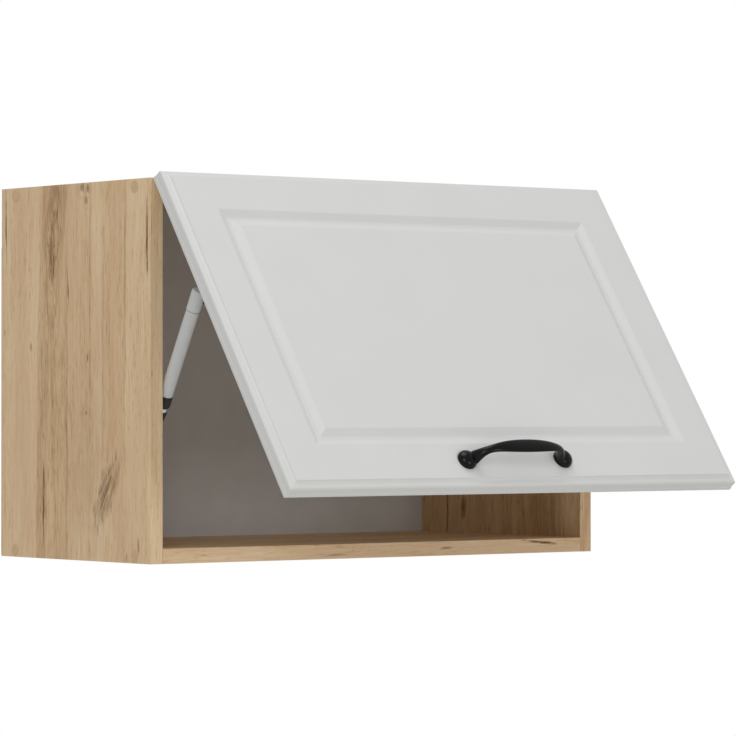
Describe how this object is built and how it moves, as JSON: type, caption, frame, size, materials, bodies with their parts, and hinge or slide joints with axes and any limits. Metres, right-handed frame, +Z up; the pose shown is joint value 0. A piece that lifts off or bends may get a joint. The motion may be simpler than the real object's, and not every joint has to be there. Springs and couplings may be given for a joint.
{
  "type": "lift-up flap wall cabinet",
  "caption": "Low wide kitchen wall cabinet in oak decor with a light grey milled flap that lifts on concealed hinges and a gas strut, with a black bow handle.",
  "frame": {"origin": "middle of the wall face of the back panel", "axes": "+X to the right seen from the front, +Y into the wall, +Z up; the flap faces -Y"},
  "size_m": [0.6012, 0.5443, 0.4064],
  "materials": {
    "oak_board": "oak-decor melamine on chipboard, satin",
    "oak_edging": "oak-decor edge band, satin",
    "grey_hardboard": "lacquered hardboard, matt",
    "beech_dowel": "fluted beech, raw",
    "zinc_steel": "zinc-plated steel",
    "oak_cap": "moulded, matt",
    "foiled_mdf": "milled board wrapped in satin foil",
    "clear_rubber": "soft clear polymer",
    "black_enamel": "cast zinc alloy, satin black enamel",
    "dark_steel": "blackened steel",
    "grey_lacquered_steel": "grey lacquer on steel tube",
    "black_plastic": "moulded, matt",
    "chromed_steel": "polished chrome"
  },
  "bodies": {
    "carcass": {"left_side_panel": "oak_board", "right_side_panel": "oak_board", "top_panel": "oak_board", "bottom_panel": "oak_board", "back_panel": "grey_hardboard", "edge_bands": "oak_edging", "dowels": "beech_dowel", "connecting_screws": "zinc_steel", "screw_caps": "oak_cap", "back_nails": "zinc_steel", "hanger_screws": "zinc_steel", "hinge_plate_screws": "zinc_steel", "hinge_arm_screws": "zinc_steel", "hinge_pins": "zinc_steel", "strut_side_screws": "zinc_steel", "hanger_plate_left": "zinc_steel", "hanger_plate_right": "zinc_steel", "hinge_plate_left": "zinc_steel", "hinge_plate_right": "zinc_steel", "hinge_arm_left": "zinc_steel", "hinge_arm_right": "zinc_steel", "strut_side_plate_left": "dark_steel", "strut_side_stud_left": "dark_steel"},
    "flap": {"flap_panel": "foiled_mdf", "flap_bumpers": "clear_rubber", "handle": "black_enamel", "handle_screws": "zinc_steel", "hinge_cup_screws": "zinc_steel", "strut_flap_screws": "zinc_steel", "hinge_cup_left": "zinc_steel", "hinge_cup_right": "zinc_steel", "strut_flap_bracket_left": "dark_steel", "strut_flap_stud_left": "dark_steel"},
    "hinge_strap_left": {"hinge_strap_left": "zinc_steel"},
    "strut_cylinder_left": {"strut_head_left": "grey_lacquered_steel", "strut_tube_left": "grey_lacquered_steel", "strut_collar_left": "black_plastic", "strut_ring_left": "chromed_steel", "strut_nose_left": "black_plastic"},
    "strut_rod_left": {"strut_rod_left": "chromed_steel", "strut_rod_end_left": "black_plastic"},
    "hinge_strap_right": {"hinge_strap_right": "zinc_steel"}
  },
  "joints": [
    {"name": "flap_hinge", "type": "hinge", "parent": "carcass", "child": "flap", "pos_m": [0, -0.292, 0.199], "axis": [-1, 0, 0], "range_deg": [-35, 35]},
    {"name": "hinge_strap_left", "type": "hinge", "parent": "carcass", "child": "hinge_strap_left", "pos_m": [-0.2, -0.292, 0.199], "axis": [-1, 0, 0], "range_deg": [-28.36, 28.36]},
    {"name": "strut_swing_left", "type": "hinge", "parent": "flap", "child": "strut_cylinder_left", "pos_m": [-0.2755, -0.34002, 0.07637], "axis": [-1, 0, 0], "range_deg": [-40.23, 40.23]},
    {"name": "strut_slide_left", "type": "slide", "parent": "strut_cylinder_left", "child": "strut_rod_left", "axis": [0, 0.4879, -0.8729], "range_m": [-0.07488, 0.07488]},
    {"name": "hinge_strap_right", "type": "hinge", "parent": "carcass", "child": "hinge_strap_right", "pos_m": [0.2, -0.292, 0.199], "axis": [-1, 0, 0], "range_deg": [-28.36, 28.36]}
  ],
  "couplings": [
    {"joint": "hinge_strap_left", "follows": "flap_hinge", "ratio": 0.81},
    {"joint": "strut_swing_left", "follows": "flap_hinge", "ratio": -1.1491},
    {"joint": "strut_slide_left", "follows": "flap_hinge", "m_per_rad": 0.1225},
    {"joint": "hinge_strap_right", "follows": "flap_hinge", "ratio": 0.81}
  ]
}
